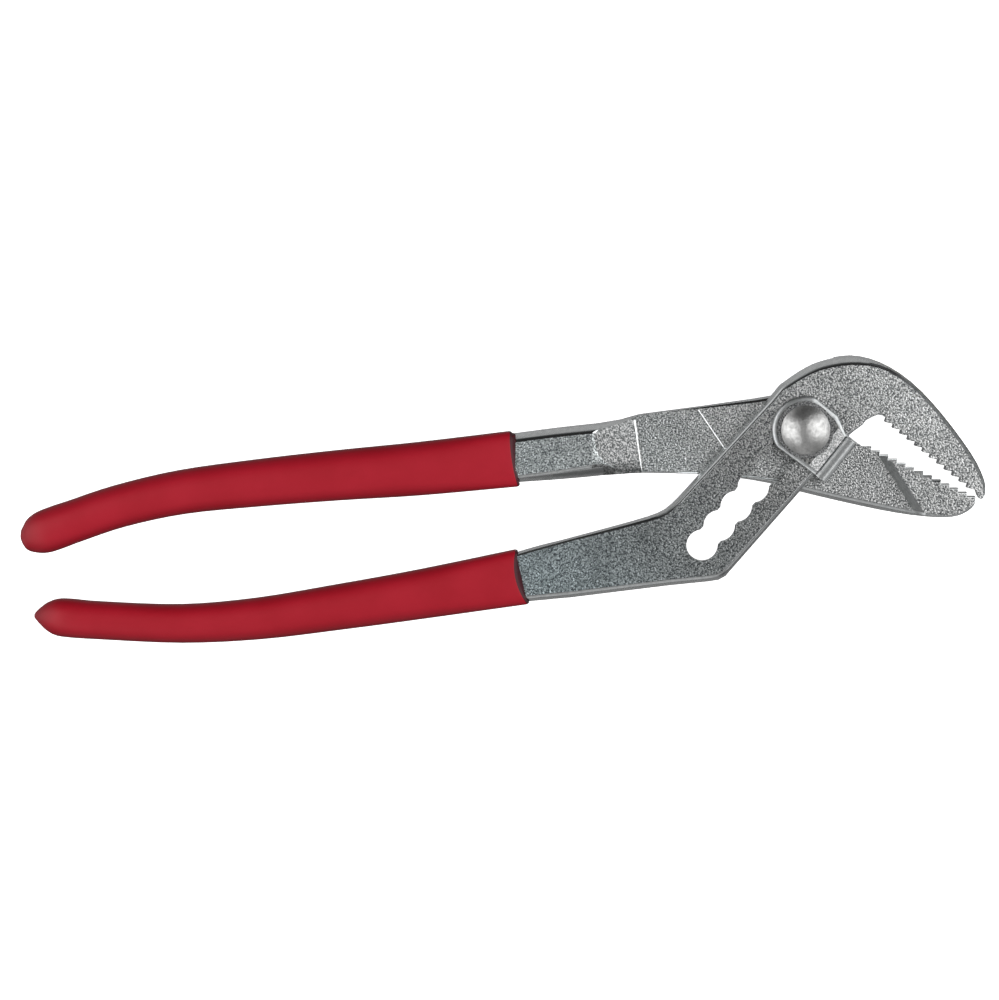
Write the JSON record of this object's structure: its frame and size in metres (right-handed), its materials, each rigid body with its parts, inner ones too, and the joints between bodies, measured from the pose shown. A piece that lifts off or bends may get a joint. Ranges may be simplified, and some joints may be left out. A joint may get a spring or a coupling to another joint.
{
  "type": "slip joint water pump pliers",
  "caption": "Adjustable pliers with offset toothed jaws, a domed pivot bolt in a notched slot, a hooked guide plate and dipped vinyl grips.",
  "frame": {"origin": "on the pivot bolt's axis, at the level of the pliers' back, on which they lie", "axes": "+X from the handles towards the jaws, +Y in the plane of the jaws towards the upper jaw's hooked back, +Z out of the front, where the bolt's dome is"},
  "size_m": [0.2509, 0.0748, 0.0164],
  "materials": {
    "plated_forging": "drop-forged steel with a pebbled skin under dull nickel-chrome plate",
    "red_vinyl": "satin-gloss dipped red vinyl",
    "polished_bolt": "polished plated steel dome",
    "pressed_plate": "pressed and plated steel with a bright edge",
    "washer_steel": "dark plated steel ring"
  },
  "bodies": {
    "rear_arm": {"rear_jaw_forging": "plated_forging", "rear_grip": "red_vinyl"},
    "pivot": {"pivot_bolt": "polished_bolt", "head_washer": "washer_steel"},
    "guide": {"guide_plate": "pressed_plate"},
    "front_arm": {"front_jaw_forging": "plated_forging", "front_grip": "red_vinyl"}
  },
  "joints": [
    {"name": "handle_pivot", "type": "hinge", "parent": "rear_arm", "child": "pivot", "pos_m": [0, 0, 0], "axis": [0, 0, 1], "range_deg": [0, 62]},
    {"name": "notch_swing", "type": "hinge", "parent": "pivot", "child": "guide", "pos_m": [0, 0, 0], "axis": [0, 0, 1], "range_deg": [0, 21.5]},
    {"name": "jaw_adjust", "type": "slide", "parent": "guide", "child": "front_arm", "axis": [0.6613, 0.7501, 0], "range_m": [0, 0.0402]}
  ],
  "couplings": [
    {"joint": "notch_swing", "follows": "jaw_adjust", "rad_per_m": 9.2}
  ]
}
